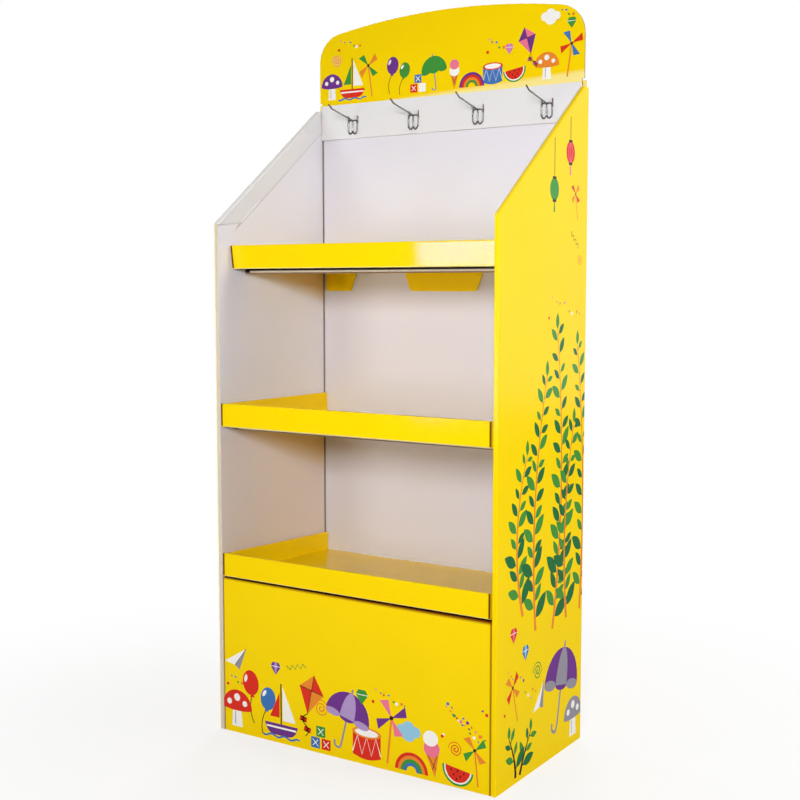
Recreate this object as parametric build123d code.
from build123d import *
import math
import os

# Cardboard display stand, free standing on the floor. Two hollow side walls, a back
# panel and a plinth front carry three shelf trays; a header card with an arched top
# and a row of wire hooks close it at the top.
# Sizes are in millimetres, +Z is up and the open front faces -Y. While it is built,
# Y runs from 0 at the front of the side walls to the back; the finished pieces are
# then moved so that the middle of the footprint is the origin.

# Overall sizes, and the steps in height from the floor to the top
width = 600.0
side_depth = 330.0
bottom_shelf_base = 286.5
shelf_pitch = 295.0
front_above_shelf = 83.5
slope_height = 239.0
back_above_side = 13.0
shoulder_above_back = 4.0
head_height = 154.0

# Board: thickness, the clearance of a glued lap, and the rounding of a fold
board = 3.0
slip = 0.25
fold_radius = 1.8

# Side walls: the flat behind the slope, and the hem folded over the sloping edge
flat_top = 15.0
hem_width = 36.0
hem_front_cut = 65.0
hem_seat = 0.2
inner_wall_short = 1.5

# Back panel: flanges tucked into the hollow side walls, and notches in its top edge
flange_depth = 45.0
flange_foot = 5.0
flange_below_top = 79.0
notch_width = 5.0
notch_depth = 5.0
notch_places = (-193.0, -36.0, 125.0)

# Shelf trays: lips, the top tray's place and lean, and the rise towards the front
tray_clearance = 2.5
lip_height = 43.5
lip_layers = 2
lip_round = 2.0
side_lip_step = 0.6
lip_end_play = 1.0
top_tray_setback = 37.5
top_tray_lean = 5.5
top_tray_rise = 0.5
middle_tray_rise = 1.5
bottom_tray_rise = 12.5

# Rear flange of a tray: tongues hang inside the back panel
tongue_drop = 41.5
tongue_top_half = 91.0
tongue_bottom_half = 75.0
tongue_round = 9.0
end_tongue_inset = 7.0
end_tongue_round = 4.0

# Rear flange of a tray: dovetail tabs pass through slots and lock outside
tab_centre = 148.0
tab_top_width = 102.0
tab_bottom_width = 133.0
tab_drop = 43.0
tab_round = 2.5
tab_play = 0.3
cut_gap = 5.0
slot_side_play = 2.0
slot_under_play = 0.5
slot_head = 3.5

# Plinth front below the bottom tray, with a wing folded back at each end
plinth_gap = 3.5
plinth_wing = 160.0
plinth_setback = 1.0

# Steel tubes that carry the fronts of the two upper trays
tube_diameter = 9.0
tube_wall = 1.0
tube_from_lip = 44.5
tube_hole_play = 1.0
tube_end_play = 0.5

# Header card, and the white strip in front of its foot
header_inset = 6.0
arch_radius = 1513.0
header_corner = 56.0
strip_clearance = 1.25
strip_below_back = 2.5
strip_height = 68.5
strip_corner = 6.0
neck_above_strip_foot = 5.0

# Wire hooks: two wings flat on the strip, two prongs through the board, one arm
wire = 3.0
wire_flats = 10
bend_steps = 3
hook_count = 4
hook_spacing = 144.0
hook_shift = 6.0
arm_bend = 5.0
wing_bend = 3.2
wing_width = 10.75
wing_height = 29.0
wing_point = 7.5
wing_below_strip_head = 33.5
arm_reach = 70.0
arm_rise = 14.5
tip_reach = 11.0
tip_rise = 7.5
prong_rise = 8.0
prong_slot_play = 1.0
wire_play = 0.1
prong_play = 0.2

# Heights that follow from the sizes above
middle_shelf_base = bottom_shelf_base + shelf_pitch
top_shelf_base = middle_shelf_base + shelf_pitch
front_height = top_shelf_base + front_above_shelf
side_height = front_height + slope_height
back_height = side_height + back_above_side
header_shoulder = back_height + shoulder_above_back
total_height = header_shoulder + head_height
strip_head = back_height - strip_below_back
strip_foot = strip_head - strip_height
header_foot = strip_foot + neck_above_strip_foot
wing_head = strip_head - wing_below_strip_head
wing_foot = wing_head - wing_height
prong_level = wing_head - wing_bend
prong_top = wing_head + prong_rise

# Widths and depths that follow from the sizes above
half = width / 2
wall_gap = board + 2 * slip
wall = 2 * board + wall_gap
inner_face = half - wall
hem_face = inner_face - slip - board
panel_back = side_depth
panel_front = panel_back - board
header_front = panel_front - slip - board
strip_front = header_front - slip - board
slope_run = side_depth - flat_top
slope_angle = math.atan2(slope_height, slope_run)
tray_half = inner_face - tray_clearance
tray_rear = panel_front - slip
lip_thick = lip_layers * board
card_half = inner_face - strip_clearance
hook_places = [hook_shift + (i - (hook_count - 1) / 2) * hook_spacing for i in range(hook_count)]
hook_plane = strip_front - wire_play - wire / 2
prong_plane = panel_back + prong_play + wire / 2
tab_front = panel_back + tab_play
whole_depth = max(prong_plane + wire / 2, tab_front + board)
beyond = 5.0

# Each tray as its rear height, its distance from the front, its lip's lean and its rise
top_tray = (top_shelf_base, top_tray_setback, top_tray_lean, top_tray_rise)
middle_tray = (middle_shelf_base, 0.0, 0.0, middle_tray_rise)
bottom_tray = (bottom_shelf_base, 0.0, 0.0, bottom_tray_rise)
trays = (top_tray, middle_tray, bottom_tray)


def block(x0, x1, y0, y1, z0, z1):
    # Plain box from its six limits.
    return Pos((x0 + x1) / 2, (y0 + y1) / 2, (z0 + z1) / 2) * Box(x1 - x0, y1 - y0, z1 - z0)


def across(points, x0, x1):
    # Side-view outline, given as (y, z), made thick from x0 to x1.
    face = make_face(Polyline(*[(x0, y, z) for y, z in points], close=True))
    return extrude(face, amount=x1 - x0, dir=(1, 0, 0))


def round_long(body, radius, above):
    # Rounds the long edges of a lip that lie above a height.
    edges = body.edges().filter_by(lambda e: e.center().Z > above and e.length > 2 * lip_thick)
    return fillet(edges, radius)


def upright(sketch, y0, y1):
    # Front-view outline, drawn as (x, z), made thick from y0 to y1.
    plane = Plane(origin=(0, y0, 0), x_dir=(1, 0, 0), z_dir=(0, -1, 0))
    return extrude(plane * sketch, amount=y1 - y0, dir=(0, 1, 0))


def outline(points, low_round):
    # Front-view face from its corners, with the lowest corners rounded.
    face = make_face(Polyline(*points, close=True))
    low = min(z for x, z in points)
    return fillet(face.vertices().filter_by(lambda v: v.Y < low + 0.01), low_round)


def bent(points, bend):
    # A path of straight runs whose corners are turned in a few small even steps, the
    # steps touching an arc of the bend radius from outside.
    corners = [Vector(*p) for p in points]
    path = [corners[0]]
    for before, corner, after in zip(corners, corners[1:], corners[2:]):
        back = (before - corner).normalized()
        ahead = (after - corner).normalized()
        turn = math.radians(180 - back.get_angle(ahead))
        centre = corner + (back + ahead).normalized() * (bend / math.cos(turn / 2))
        spoke = corner + back * (bend * math.tan(turn / 2)) - centre
        travel = back * -bend
        step = turn / bend_steps
        for i in range(bend_steps):
            angle = step * (i + 0.5)
            on_arc = spoke * math.cos(angle) + travel * math.sin(angle)
            path.append(centre + on_arc * (1 / math.cos(step / 2)))
    return path + [corners[-1]]


def rod(points, bend):
    # Wire of round section, drawn with a few flats, along a bent path.
    path = Polyline(*[tuple(p) for p in bent(points, bend)])
    section = Plane(origin=path @ 0, z_dir=path % 0) * RegularPolygon(wire / 2, wire_flats)
    return sweep(section, path=path, transition=Transition.RIGHT)


def on_slope(y, below):
    # Point of the side view on a line parallel to the slope, a distance below it.
    s, c = math.sin(slope_angle), math.cos(slope_angle)
    return y, front_height + y * s / c - below / c


def under_tray(tray, y):
    # Height of a tray's underside, which falls from its front to its back.
    base, set_back, lean, rise = tray
    return base + rise * (tray_rear - y) / (tray_rear - set_back)


def tube_centre(tray):
    # Depth and height of the tube that carries the front of a tray.
    y = tray[1] + tube_from_lip
    return y, under_tray(tray, y) - slip - tube_diameter / 2


def prong_slots():
    # Upright slots for the prongs of all the hooks, long enough for every layer.
    low = prong_level - wire / 2 - prong_slot_play
    high = prong_top + prong_slot_play
    slots = []
    for place in hook_places:
        for x in (place - wing_width, place + wing_width):
            slots.append(block(x - (wire + prong_slot_play) / 2, x + (wire + prong_slot_play) / 2,
                               strip_front - beyond, panel_back + beyond, low, high))
    return slots


def side_wall():
    # Left side wall, one folded sheet: outer wall, front return, inner wall, and a
    # hem that runs from the outer wall over the sloping edge and down the inside.
    tall = side_height + beyond
    walls = (block(-half, -half + board, 0, side_depth, 0, tall)
             + block(-half, -inner_face, 0, board, 0, tall)
             + block(-inner_face - board, -inner_face, 0, panel_front - inner_wall_short, 0, tall))
    front_folds = walls.edges().filter_by(Axis.Z).filter_by(lambda e: abs(e.center().Y) < 0.01)
    walls = fillet(front_folds, fold_radius)

    # the outer wall reaches the top of the hem, the rest stops under it
    rear = side_depth + beyond
    over = [on_slope(-beyond, 0), on_slope(slope_run, 0), (rear, side_height),
            (rear, tall + beyond), (-beyond, tall + beyond)]
    under_hem = board + hem_seat
    over_inner = [on_slope(-beyond, under_hem), on_slope(slope_run, under_hem),
                  (rear, side_height - under_hem), (rear, tall + beyond), (-beyond, tall + beyond)]
    walls = walls - across(over, -half - beyond, -half + board)
    walls = walls - across(over_inner, -half + board, -inner_face + beyond)

    # the hem: its top strip, then its flap inside, cut back at the lower end
    top_strip = [on_slope(0, 0), on_slope(slope_run, 0), on_slope(slope_run, board),
                 on_slope(board, board), (0, front_height - board)]
    strip_over = across(top_strip, -half, -hem_face)
    flap_end = strip_front - inner_wall_short
    flap = [on_slope(board, board / 2), on_slope(slope_run, board / 2),
            on_slope(slope_run, board), on_slope(flap_end, hem_width),
            on_slope(hem_front_cut, hem_width), on_slope(board, board)]
    hem = strip_over + across(flap, -hem_face - board, -hem_face)
    body = walls + hem

    # round the two long folds of the hem
    s, c = math.sin(slope_angle), math.cos(slope_angle)
    folds = body.edges().filter_by(
        lambda e: abs(abs(e.tangent_at(0.5).Z) - s) < 0.001 and e.length > slope_run
        and abs(e.center().Z - on_slope(e.center().Y, 0)[1]) < 0.01)
    body = fillet(folds, fold_radius)

    # holes in the inner wall for the ends of the tubes
    for tray in (top_tray, middle_tray):
        y, z = tube_centre(tray)
        hole = Cylinder((tube_diameter + tube_hole_play) / 2, board + wall_gap)
        body = body - Pos(-inner_face - board / 2, y, z) * Rot(0, 90, 0) * hole
    return body


def back_panel():
    # One sheet, its long edges folded forward into the hollow side walls.
    edge = half - board - slip
    body = block(-edge, edge, panel_front, panel_back, 0, back_height)
    for x in (-edge, edge - board):
        body = body + block(x, x + board, panel_back - flange_depth, panel_front,
                            flange_foot, side_height - flange_below_top)
    folds = body.edges().filter_by(Axis.Z).filter_by(
        lambda e: abs(e.center().X) > edge - 0.01 and e.center().Y > panel_back - 0.01)
    body = fillet(folds, fold_radius)

    slot_half = tab_top_width / 2 + slot_side_play
    for tray in trays:
        for x in (-tab_centre, tab_centre):
            body = body - block(x - slot_half, x + slot_half, panel_front - beyond,
                                panel_back + beyond, tray[0] - slot_under_play,
                                tray[0] + board + slot_head)
    for x in notch_places:
        body = body - block(x - notch_width / 2, x + notch_width / 2, panel_front - beyond,
                            panel_back + beyond, back_height - notch_depth, back_height + beyond)
    for slot in prong_slots():
        body = body - slot
    return body


def shelf_tray(tray):
    # One folded sheet: a double deck, rolled lips on three sides, and at the back
    # three tongues inside the back panel and two dovetail tabs outside it.
    base, set_back, lean, rise = tray
    front_low = base + rise
    front_top = front_low + lip_height
    deck = [(set_back, front_low), (set_back - lean, front_top),
            (set_back - lean + lip_thick, front_top),
            (set_back + lip_thick, under_tray(tray, set_back + lip_thick) + lip_thick),
            (tray_rear, base + lip_thick), (tray_rear, base)]
    body = round_long(across(deck, -tray_half, tray_half), lip_round, front_top - lip_round)
    front_fold = body.edges().filter_by(Axis.X).filter_by(
        lambda e: abs(e.center().Y - set_back) < 0.01 and abs(e.center().Z - front_low) < 0.01)
    body = fillet(front_fold, fold_radius)

    # side lips on the ends of the deck, a little lower than the front lip that they meet
    lip_front = set_back + lip_thick / 2
    lip_rear = tray_rear - lip_end_play
    lip_top = front_top - side_lip_step
    rear_top = base + lip_height - side_lip_step
    side_lip = [(lip_front, under_tray(tray, lip_front)), (lip_front - lean, lip_top),
                (lip_rear, rear_top), (lip_rear, under_tray(tray, lip_rear))]
    for x in (-tray_half, tray_half - lip_thick):
        lip = across(side_lip, x, x + lip_thick)
        body = body + round_long(lip, lip_round, rear_top - lip_round)

    # tongues against the inside of the back panel
    high = base + board
    low = base - tongue_drop
    body = body + upright(
        outline([(-tongue_top_half, high), (tongue_top_half, high),
                 (tongue_bottom_half, low), (-tongue_bottom_half, low)], tongue_round),
        tray_rear - board, tray_rear)
    beside_top = tab_centre + tab_top_width / 2 + cut_gap
    beside_low = tab_centre + tab_bottom_width / 2 + cut_gap
    for s in (-1, 1):
        end = outline([(s * beside_top, high), (s * (tray_half - end_tongue_inset), high),
                       (s * (tray_half - end_tongue_inset), low), (s * beside_low, low)],
                      end_tongue_round)
        body = body + upright(end, tray_rear - board, tray_rear)

    # tabs through the slots of the back panel, folded down behind it
    tab_low = high - tab_drop
    for x in (-tab_centre, tab_centre):
        neck = block(x - tab_top_width / 2, x + tab_top_width / 2, tray_rear - board,
                     tab_front + board, base, high)
        tab = outline([(x - tab_top_width / 2, high), (x + tab_top_width / 2, high),
                       (x + tab_bottom_width / 2, tab_low), (x - tab_bottom_width / 2, tab_low)],
                      tab_round)
        body = body + neck + upright(tab, tab_front, tab_front + board)
    return body


def plinth_front():
    # Panel under the bottom tray; its wings lie inside the side walls and carry the tray.
    edge = inner_face - slip
    top = bottom_shelf_base + bottom_tray_rise - plinth_gap
    inside = plinth_setback + board
    body = block(-edge, edge, plinth_setback, inside, 0, top)
    wing_front = inside + board
    wing = [(plinth_setback, 0), (plinth_wing, 0),
            (plinth_wing, under_tray(bottom_tray, plinth_wing) - slip),
            (wing_front, under_tray(bottom_tray, wing_front) - slip),
            (wing_front, top), (plinth_setback, top)]
    for x in (-edge, edge - board):
        body = body + across(wing, x, x + board)
    folds = body.edges().filter_by(Axis.Z).filter_by(
        lambda e: abs(e.center().X) > edge - 0.01 and e.center().Y < plinth_setback + 0.01)
    return fillet(folds, fold_radius)


def support_tube(tray):
    # Steel tube under the front of a tray, its ends inside the hollow side walls.
    length = 2 * (half - board - tube_end_play)
    ring = Cylinder(tube_diameter / 2, length) - Cylinder(tube_diameter / 2 - tube_wall, length)
    y, z = tube_centre(tray)
    return Pos(0, y, z) * Rot(0, 90, 0) * ring


def header_card():
    # Straight neck behind the strip, shoulders over the side walls, arched top.
    neck_high = header_shoulder + board
    neck = Pos(0, (header_foot + neck_high) / 2) * Rectangle(2 * card_half, neck_high - header_foot)
    middle = header_shoulder + head_height / 2
    head = Pos(0, middle) * Rectangle(width - 2 * header_inset, head_height)
    head = head & (Pos(0, total_height - arch_radius) * Circle(arch_radius))
    head = fillet(head.vertices().filter_by(lambda v: v.Y > middle), header_corner)
    body = upright(neck + head, header_front, header_front + board)
    for slot in prong_slots():
        body = body - slot
    return body


def hook_strip():
    # White strip across the inside, in front of the header card's neck.
    middle = (strip_foot + strip_head) / 2
    shape = Pos(0, middle) * Rectangle(2 * card_half, strip_height)
    shape = fillet(shape.vertices().filter_by(lambda v: v.Y > middle), strip_corner)
    body = upright(shape, strip_front, strip_front + board)
    for slot in prong_slots():
        body = body - slot
    return body


def wire_hook(x):
    # Two pointed wings flat on the strip share a middle wire, which turns forward as
    # the arm and ends in a raised tip; a prong behind each wing holds in the board.
    y = hook_plane
    cleft = wing_foot + wing_point
    bend = (x, y - arm_reach, wing_head + arm_rise)
    tip = (x, bend[1] - tip_reach, bend[2] + tip_rise)
    body = rod([(x, y, cleft), (x, y, wing_head), bend, tip], arm_bend)
    for s in (-1, 1):
        point = x + s * wing_width / 2
        side = x + s * wing_width
        body = body + rod([(x, y, cleft), (point, y, wing_foot), (side, y, cleft),
                           (side, y, wing_head), (x, y, wing_head)], wing_bend)
        body = body + rod([(side, y, prong_level), (side, prong_plane, prong_level),
                           (side, prong_plane, prong_top)], wing_bend)
    return body


left_side = side_wall()
pieces = {
    "back_panel": back_panel(),
    "side_left": left_side,
    "side_right": mirror(left_side, about=Plane.YZ),
    "header_card": header_card(),
    "hook_strip": hook_strip(),
    "shelf_top": shelf_tray(top_tray),
    "shelf_middle": shelf_tray(middle_tray),
    "shelf_bottom": shelf_tray(bottom_tray),
    "plinth_front": plinth_front(),
    "tube_top": support_tube(top_tray),
    "tube_middle": support_tube(middle_tray),
}
for number, place in enumerate(hook_places, start=1):
    pieces["wire_hook_%d" % number] = wire_hook(place)

os.makedirs("parts", exist_ok=True)
to_origin = Pos(0, -whole_depth / 2, 0)
for name, piece in pieces.items():
    body = to_origin * piece
    size = body.bounding_box().size
    print(name, "solids", len(body.solids()), "volume", round(body.volume),
          "size", round(size.X, 1), round(size.Y, 1), round(size.Z, 1))
    export_step(body, "parts/%s.step" % name)
